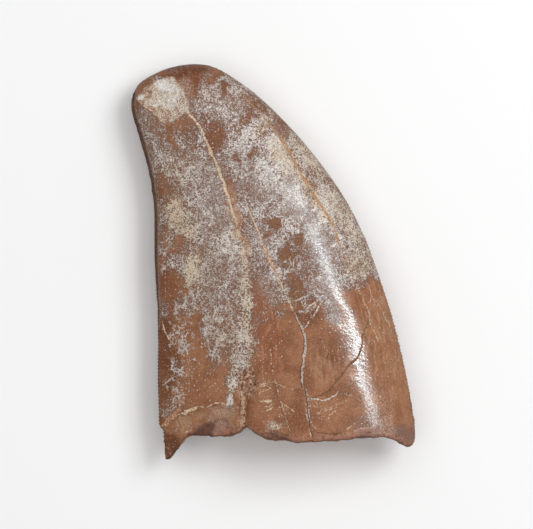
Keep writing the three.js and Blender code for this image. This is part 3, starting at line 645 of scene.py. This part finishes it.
def workSurface(skin, rims):
    # moves the points of the skin and leaves what each place is made of in attributes
    mesh = skin.data
    places = read(mesh.vertices) / mm
    normals = read(mesh.vertices, "normal")
    top = ramp(0, 0.25, normals[:, 2])
    spots = stray(places[:, :2], places, reliefSet["wobble"], (3.1, 8.7))
    lift = grainAt(places, "swells", 1.7)

    veinColour = np.zeros((len(places), 3))
    beside, width, dark = np.zeros((3, len(places)))
    closest = np.full(len(places), 1e9)
    thin = noiseAt(places, 1.6, 12.3)
    gap = noiseAt(places, 0.5, 15.9)
    for line in lines.values():
        away, side, along, length = nearLine(spots, line["points"])
        first, last = line["taper"]
        taper = 0.35 + 0.65 * ramp(0, first, along) * ramp(0, last, length - along)
        half = line["half"] * (1 + 0.5 * thin) * taper
        ends = ramp(-0.4, 0.6, along) * ramp(-0.4, 0.6, length - along)
        lift -= top * ends * line["groove"] * np.exp(-(away / (1.5 * half)) ** 2)
        height, reach = line["step"]
        lift += top * ends * 0.5 * height * side * np.exp(-away / reach) * ramp(0, 0.15, away)
        closer = away - half < closest
        closest[closer] = (away - half)[closer]
        kept = ends * ramp(line["gaps"] - 0.5, line["gaps"] - 0.35, gap + 0.25)
        width[closer] = (half * kept)[closer]
        beside[closer] = (away * side)[closer]
        # how far to the left of the line its painted shade line runs
        dark[closer] = line["shade"]
        veinColour[closer] = rgb(*mineral[line["mineral"]])
    away, side, along, length = nearLine(spots, tenths(band["points"]))
    banded = top * ramp(0.15, -0.25, away - np.interp(along, band["over"], band["half"]))
    lift += reliefSet["band"] * banded

    scar = top * within(spots, "scar", -0.25, 0.15)
    pit = top * within(spots, "pit", -0.25, 0.15)
    pitHeart = top * within(spots, "pit", 0.15, 0.6)
    flake = top * within(spots, "baseFlake", -0.1, 0.2)
    broken = ramp(-0.25, -0.6, normals[:, 1]) * ramp(-22, -23.5, places[:, 1])
    inward = relax(np.tile(broken[:, None], (1, 3)), readEdges(mesh), 0.5, reliefSet["rim"]["rounds"])[:, 0]
    rim = broken * ramp(0.97, 0.8, inward)
    hollow = reliefSet["hollow"]
    across = (places[:, 0] - hollow["at"][0]) / hollow["half"][0]
    upwards = (places[:, 2] - hollow["at"][1]) / hollow["half"][1]
    filled = broken * ramp(1.15, 0.85, np.hypot(across, upwards) + 0.6 * noiseAt(places, 1.5, 71.3))
    lift += rim * reliefSet["rim"]["proud"] - filled * hollow["sunk"]
    above = spots[:, 1] - np.interp(spots[:, 0], rims["base"][:, 0], rims["base"][:, 1])
    crumbled = top * ramp(0.55, 0.35, nearLine(spots, lines["notchFill"]["points"])[0])
    crumbWidth = np.interp(places[:, 0], *reliefSet["crumbWidths"])
    crumbWidth += 0.7 * noiseAt(places, 2.2, 35.2) + 0.7 * noiseAt(places, 0.7, 36.9)
    crumb = top * ramp(crumbWidth + 0.15, crumbWidth - 0.15, above)
    lift += scar * grainAt(places, "scarGrain", 21.3)
    lift += pitHeart * reliefSet["pitFill"] + pit * 0.6 * grainAt(places, "pitGrain", 25.1)
    lift += flake * grainAt(places, "flakeGrain", 28.4)
    lift += np.maximum(broken, 0.25 * crumb) * grainAt(places, "breakGrain", 31.6)
    lift -= sawTeeth(places, rims) * (1 - broken)

    strayed = stray(places[:, :2], places, straySet, (41.2, 45.8))
    cover = np.zeros(len(places))
    for share, soft, outline in crust["regions"]:
        cover = np.maximum(cover, share * ramp(-soft, soft, insideOf(strayed, outline)))
    bare = ellipses(strayed, crust["bare"])
    nibbled = stray(strayed, places, nibbleSet, (61.3, 64.8))
    windows = top * ellipses(nibbled, crust["windows"], (1.3, 0.7))
    cover = cover * (1 - bare) + softly(strayed, crust["dense"])
    cover = np.maximum(cover, 0.5 * banded)
    under = 0.62 * ramp(-0.2, 0.35, noiseAt(places, 7, 51.5) + 0.4 * noiseAt(places, 2.3, 53.1))
    cover = top * cover + (1 - top) * under
    film = top * softly(strayed, crust["film"]) * (1 - 0.8 * bare) + (1 - top) * 0.6 * under
    cream = top * softly(strayed, crust["cream"]) + (1 - top) * ramp(0, 0.3, noiseAt(places, 5, 57.7))

    # the worn strip along the hind edge, whose colour is painted shade where that face turns away from the
    # light
    away = nearLine(places[:, :2], rims["hind"][:, :2])[0]
    stripWidth = np.interp(places[:, 1], *crust["wornShadedStrip"])
    hindSide = places[:, 0] < -10
    strip = ramp(stripWidth + 0.12, stripWidth - 0.12, away) * hindSide
    stripLine = ramp(0.2, 0.06, np.abs(away - stripWidth - 0.08)) * (stripWidth > 0.1) * top * hindSide

    stained = {kind: top * ellipses(strayed, patches) for kind, patches in stains.items()}
    for kind, name, share, start, end in borderedStains:
        stained[kind] = np.maximum(stained[kind], share * top * within(spots, name, start, end))

    layers = {
        "crust": (cover * (1 - strip) * (1 - broken), film * (1 - strip), cream),
        "tone": [stained[kind] for kind in ("red", "dark", "purple")],
        "forms": (broken, scar, strip),
        "cracks": (width, dark, ramp(0.6, 0.4, closest) * top),
        "extras": (stained["tan"], pit, stripLine),
        "edges": (top * ellipses(strayed, crust["olive"]), crumb, stained["paintedLitSide"]),
        "details": [stained[kind] for kind in ("veinlets", "strays", "hairs")],
        "films": (windows, stained["veilAndSheen"], stained["blush"]),
        "fracture": (rim, filled, crumbled),
    }
    for name, channels in layers.items():
        writeColour(mesh, name, np.stack(channels, axis=1), np.ones(len(places)))
    writeColour(mesh, "veins", veinColour, 0.5 + beside)

    places += normals * lift[:, None]
    for x, y, pull, reach in reliefSet["pulls"]:
        places[:, 1] += pull * np.exp(-np.hypot(places[:, 0] - x, places[:, 1] - y) ** 2 / reach ** 2)
    places[:, 2] = np.maximum(places[:, 2], 0)
    writePoints(mesh, places)


def writeColour(mesh, name, colour, alpha):
    layer = mesh.attributes.new(name, "FLOAT_COLOR", "POINT")
    values = np.concatenate([np.clip(colour, 0, 1), np.clip(alpha, 0, 1)[:, None]], axis=1)
    layer.data.foreach_set("color", values.astype(np.float32).ravel())


workSurface(skin, rims)
print("tooth: relief and layers")


class Wire:
    # a socket of a material: sums on it become Math nodes
    def __init__(self, paint, socket):
        self.paint = paint
        self.socket = socket

    def math(self, operation, a, b):
        return self.paint.node("ShaderNodeMath", {"operation": operation}, {0: a, 1: b})

    def __add__(self, other):
        return self.math("ADD", self, other)

    def __sub__(self, other):
        return self.math("SUBTRACT", self, other)

    def __rsub__(self, other):
        return self.math("SUBTRACT", other, self)

    def __mul__(self, other):
        return self.math("MULTIPLY", self, other)

    __radd__ = __add__
    __rmul__ = __mul__

    def ramp(self, start, end):
        # 0 at start and 1 at end, smooth in between
        return self.paint.node("ShaderNodeMapRange", {"interpolation_type": "SMOOTHSTEP"},
                               {"Value": self, "From Min": start, "From Max": end})

    def absolute(self):
        return self.math("ABSOLUTE", self, 0)

    def highest(self, other):
        return self.math("MAXIMUM", self, other)


class Paint:
    # a procedural material, whose colours are given by name
    def __init__(self, name, colours):
        self.colours = colours
        self.material = bpy.data.materials.new(name)
        self.material.use_nodes = True
        self.tree = self.material.node_tree
        self.shader = self.tree.nodes["Principled BSDF"]

    def plug(self, socket, value):
        if isinstance(value, Wire):
            self.tree.links.new(value.socket, socket)
        elif isinstance(value, str):
            socket.default_value = (*rgb(*self.colours[value]), 1)
        else:
            socket.default_value = value

    def node(self, kind, settings=None, inputs=None, output=0):
        made = self.tree.nodes.new(kind)
        for name, value in (settings or {}).items():
            setattr(made, name, value)
        for name, value in (inputs or {}).items():
            self.plug(made.inputs[name], value)
        return Wire(self, made.outputs[output])

    def mix(self, first, second, share):
        inputs = {0: share, 6: first, 7: second}
        return self.node("ShaderNodeMix", {"data_type": "RGBA", "clamp_factor": True}, inputs, 2)

    def coats(self, colour, *laid):
        # lays colours over one another, each with its share
        for over, share in laid:
            colour = self.mix(colour, over, share)
        return colour

    def vector(self, operation, *values):
        return self.node("ShaderNodeVectorMath", {"operation": operation}, dict(enumerate(values)))

    def noise(self, place, size, detail, roughness, seed):
        # about 0.2 to 0.8, in lumps of this size
        moved = self.vector("ADD", place, (seed, -seed, 0.5 * seed))
        inputs = {"Vector": moved, "Scale": 1 / size, "Detail": detail, "Roughness": roughness}
        return self.node("ShaderNodeTexNoise", {}, inputs)

    def away(self, place, size, detail, seed):
        # how far a smooth noise is from its middle, which is 0 along winding lines
        return (self.noise(place, size, detail, 0.5, seed) - 0.5).absolute()

    def attribute(self, name, output=0):
        return self.node("ShaderNodeAttribute", {"attribute_name": name}, output=output)

    def layers(self, name):
        colour = self.attribute(name)
        return [self.node("ShaderNodeSeparateColor", {}, {0: colour}, part) for part in range(3)]


enamelSet = {
    "light": (160, 110, 79), "deep": (134, 87, 60), "streak": (108, 68, 46), "pale": (196, 150, 118),
    "red": (144, 88, 60), "dark": (98, 56, 34), "purple": (110, 86, 83), "tan": (174, 139, 109),
    # the lit tone here is painted light, for the side that the key light falls on
    "olive": (122, 90, 62), "paintedLitSide": (157, 107, 74),
    "window": (138, 97, 70), "windowDark": (114, 78, 56), "hole": (110, 85, 73), "film": (152, 135, 128),
    "filmOlive": (144, 127, 112), "filmCream": (180, 158, 130), "filmLight": (184, 168, 158),
    "filmPale": (176, 148, 130), "blush": (188, 150, 124),
    "white": (182, 172, 164), "brightWhite": (232, 226, 222), "cream": (208, 190, 164),
    # the strip colours are painted shade on the hind edge's worn strip, which faces away from the light
    "strip": (122, 86, 63), "stripDeepShade": (66, 46, 35), "stripLine": (176, 150, 128),
    "scarBrown": (146, 108, 88), "scarCream": (210, 190, 168), "scarWhite": (240, 236, 232),
    "break": (160, 110, 88), "breakDeep": (78, 48, 40), "breakPale": (178, 140, 112),
    "dentine": (172, 128, 98), "filling": (188, 164, 136), "rim": (92, 56, 40), "pitDeep": (54, 32, 28),
    "pitPale": (206, 172, 144),
    # the first colour here is the painted shade line that runs beside a crack
    "crackShade": (66, 42, 32), "rust": (142, 90, 58), "beads": (240, 228, 206),
}
glossSet = {
    "roughness": {"enamel": 0.17, "crust": 0.45, "strip": 0.85, "break": 0.85},
    "dots": {"size": 0.4, "reach": 0.32},  # stray grains of white: one to a cell of this size at most
    "bumps": {"wrinkle": 0.025, "crust": 0.02, "veins": 0.06, "scar": 0.22, "break": 0.35},
    "sockets": {"IOR": 1.45, "Coat Weight": 0.17, "Coat Roughness": 0.27, "Specular IOR Level": 0.33},
}


def paintEnamel():
    paint = Paint("fossilEnamel", enamelSet)
    place = paint.node("ShaderNodeVectorMath", {"operation": "SCALE"},
                       {0: paint.node("ShaderNodeTexCoord", output=3), "Scale": 1 / mm})
    cover, film, cream = paint.layers("crust")
    red, dark, purple = paint.layers("tone")
    broken, scar, strip = paint.layers("forms")
    tan, pit, stripLine = paint.layers("extras")
    olive, crumb, paintedLitSide = paint.layers("edges")
    veinlets, strays, hairs = paint.layers("details")
    window, veilAndSheen, blush = paint.layers("films")
    rim, filled, crumbled = paint.layers("fracture")
    width, shade, near = paint.layers("cracks")
    veinColour = paint.attribute("veins")
    beside = paint.attribute("veins", 3) - 0.5

    mottle = paint.noise(place, 3, 3, 0.55, 3)
    grain = paint.noise(paint.vector("MULTIPLY", place, (1, 0.2, 1)), 0.5, 3, 0.6, 11)
    fine = paint.noise(place, 0.27, 2, 0.65, 17)
    speck = paint.noise(place, 0.18, 2, 0.7, 29)
    clump = paint.noise(place, 1.1, 4, 0.62, 37)
    patchy = paint.noise(place, 0.6, 2, 0.6, 71)

    # the enamel, with painted light on the side that the key light falls on
    hair = grain.ramp(0.56, 0.64) * 0.6 - grain.ramp(0.44, 0.36) * 0.6
    toned = (fine - 0.5) * 1.4 + (speck - 0.5) * 1.4 - hairs * hair * 0.9
    colour = paint.coats(
        "light", ("deep", mottle.ramp(0.4, 0.62)), ("red", red), ("paintedLitSide", paintedLitSide),
        ("tan", tan * clump.ramp(0.36, 0.62)),
        ("streak", patchy.ramp(0.52, 0.7) * 0.2),
        ("olive", clump.ramp(0.5, 0.66) * 0.35),
        ("dark", dark * (0.5 + clump * 0.8)),
        ("purple", purple * fine.ramp(0.32, 0.55)),
        ("pale", toned.ramp(0.02, 0.4) * 0.44),
        ("streak", toned.ramp(-0.02, -0.4) * 0.44))

    # the crust: a thin film, a fine net of white mineral with holes in it, veinlets and stray grains
    warp = paint.node("ShaderNodeTexNoise", {}, {"Vector": place, "Scale": 1.7, "Detail": 1}, 1)
    pushed = paint.vector("MULTIPLY_ADD", warp, (0.5, 0.5, 0.5), place)
    winding = paint.away(pushed, 0.5, 1, 23) + paint.away(pushed, 0.34, 0, 57)
    amount = cover + (clump - 0.5) * 0.9 + (mottle - 0.5)
    uneven = (clump - 0.5) * 1.2 + (fine - 0.5) + (speck - 0.5) * 0.6
    shut = 1 - (window + uneven * window.ramp(0, 0.2) * 1.4).ramp(0.42, 0.56)
    laying = (cover + uneven * cover.ramp(0, 0.12)).ramp(0.04, 0.14) * shut
    grown = speck * 1.3 - winding * 1.4 + amount * 0.55
    net = (grown - film * 0.08).ramp(0.67, 0.78) * laying
    wandering = (paint.away(pushed, 1.7, 3, 83) + (speck - 0.5) * 0.05).ramp(0.028, 0.012)
    branching = (paint.away(pushed, 0.95, 1, 91) + (speck - 0.5) * 0.04).ramp(0.024, 0.008)
    netted = wandering * (veinlets + clump - 0.5).ramp(0.2, 0.5)
    netted = netted.highest(branching * (veinlets + (patchy - 0.5) * 2).ramp(0.5, 0.9))
    dots = glossSet["dots"]
    cells = {"Vector": place, "Scale": 1 / dots["size"]}
    chance = paint.node("ShaderNodeSeparateColor", {}, {0: paint.node("ShaderNodeTexVoronoi", {}, cells, 1)})
    wanted = chance.math("LESS_THAN", chance, 0.03 + cover * 0.8 + strays * 0.4)
    dot = paint.node("ShaderNodeTexVoronoi", {}, cells).ramp(dots["reach"], 0.6 * dots["reach"]) * wanted
    haze = (film * 0.26 * patchy.ramp(0.3, 0.66)).highest((grown + film * 0.1).ramp(0.52, 0.65) * laying)
    filmColour = paint.coats(
        "film", ("filmOlive", olive), ("filmLight", amount.ramp(0.45, 0.95)), ("filmCream", cream * 0.8))
    white = paint.coats(
        "white", ("brightWhite", (fine + amount * 0.14).ramp(0.46, 0.66)),
        ("cream", cream * clump.ramp(0.3, 0.6) + olive * 0.3))
    laid = (net * (0.8 + amount * 0.2)).highest(dot * (0.3 + shut * 0.7) * (0.45 + strays * 0.4))
    laid = laid.highest(netted * 0.8)
    colour = paint.coats(
        "window", ("windowDark", fine.ramp(0.42, 0.62)), (colour, shut),
        ("hole", laying * 0.6 * (1 - blush)),
        (filmColour, haze * 0.9 * shut),
        ("blush", blush * (fine * 0.6 + clump).ramp(0.6, 0.9)),
        # the pale veil, partly painted sheen by the lower streak
        ("filmPale", veilAndSheen * fine.ramp(0.4, 0.6)),
        (white, laid))

    # the crumbly rim of the break, the hind edge's worn strip in painted shade, the scar and the pit
    breakGrain = paint.noise(place, 0.5, 4, 0.7, 47)
    breakColour = paint.coats(
        "breakDeep",
        ("break", breakGrain.ramp(0.31, 0.5)),
        ("breakPale", clump.ramp(0.54, 0.7) * fine.ramp(0.4, 0.6)),
        ("dentine", broken * mottle.ramp(0.4, 0.58) * 0.6),
        ("streak", broken * clump.ramp(0.56, 0.66) * 0.4),
        ("filling", filled * (fine * 0.6 + clump).ramp(0.6, 0.85) * 0.8),
        ("rim", rim * 0.75),
        ("purple", purple * clump.ramp(0.4, 0.6) * 0.6),
        ("filmPale", veilAndSheen * fine.ramp(0.44, 0.6) * 0.8),
        ("breakDeep", dark * 0.7))
    flecks = speck * 1.6 + fine * 0.5 + clump * 0.7 + cover * 0.6
    scarColour = paint.coats(
        "scarBrown", ("scarCream", flecks.ramp(1.28, 1.52)), ("scarWhite", flecks.ramp(1.56, 1.76)))
    crumbs = paint.coats(
        "pitDeep", ("break", fine.ramp(0.4, 0.5)), ("pitPale", (breakGrain + speck * 0.4).ramp(0.69, 0.8)))
    colour = paint.coats(
        colour,
        (breakColour, broken.highest(crumb * fine.ramp(0.3, 0.42))),
        # painted shade on the hind edge's worn strip
        (paint.mix("strip", "stripDeepShade", fine.ramp(0.4, 0.58)), strip),
        ("stripLine", stripLine * speck.ramp(0.42, 0.56) * 0.5),
        (scarColour, scar * 0.94),
        (crumbs, pit.highest(crumbled * 0.75)))

    # the veins, ragged and beaded, with a line of painted shade along one side
    ragged = (width - beside.absolute() + (speck - 0.5) * 0.36 + (fine - 0.5) * 0.4).ramp(-0.04, 0.05) * near
    ragged = ragged * width.ramp(0.01, 0.04)
    shaded = (beside - shade).absolute().ramp(0.13, 0.03) * shade.ramp(0.02, 0.1)
    shaded = shaded * near * patchy.ramp(0.34, 0.46)
    veinTone = paint.coats(
        veinColour, ("rust", fine.ramp(0.5, 0.38) * 0.6), ("beads", fine.ramp(0.54, 0.68) * 0.5))
    colour = paint.coats(colour, (veinTone, ragged * 0.92), ("crackShade", shaded * 0.7))

    rough = glossSet["roughness"]
    roughness = rough["enamel"]
    for part, share in (("crust", laid.highest(haze * 0.6).highest(veilAndSheen * 0.3)), ("strip", strip),
                        ("break", broken.highest(crumb * 0.7))):
        roughness = roughness + share * (rough[part] - rough["enamel"])

    wrinkle = paint.noise(place, 0.38, 1, 0.4, 61)
    bumps = glossSet["bumps"]
    height = wrinkle * bumps["wrinkle"] + laid * bumps["crust"] + ragged * (fine * bumps["veins"])
    height = height + scar * fine * bumps["scar"]
    height = height + broken.highest(crumb * 0.4).highest(pit) * breakGrain * bumps["break"]
    normal = paint.node("ShaderNodeBump", {}, {"Strength": 1, "Distance": mm, "Height": height})

    sockets = {"Base Color": colour, "Roughness": roughness, "Normal": normal, **glossSet["sockets"]}
    for name, value in sockets.items():
        paint.plug(paint.shader.inputs[name], value)
    return paint.material


skin.data.materials.append(paintEnamel())
select(skin)
bpy.ops.object.shade_smooth()
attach(skin, "root")
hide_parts("tooth")
print("tooth: painted")
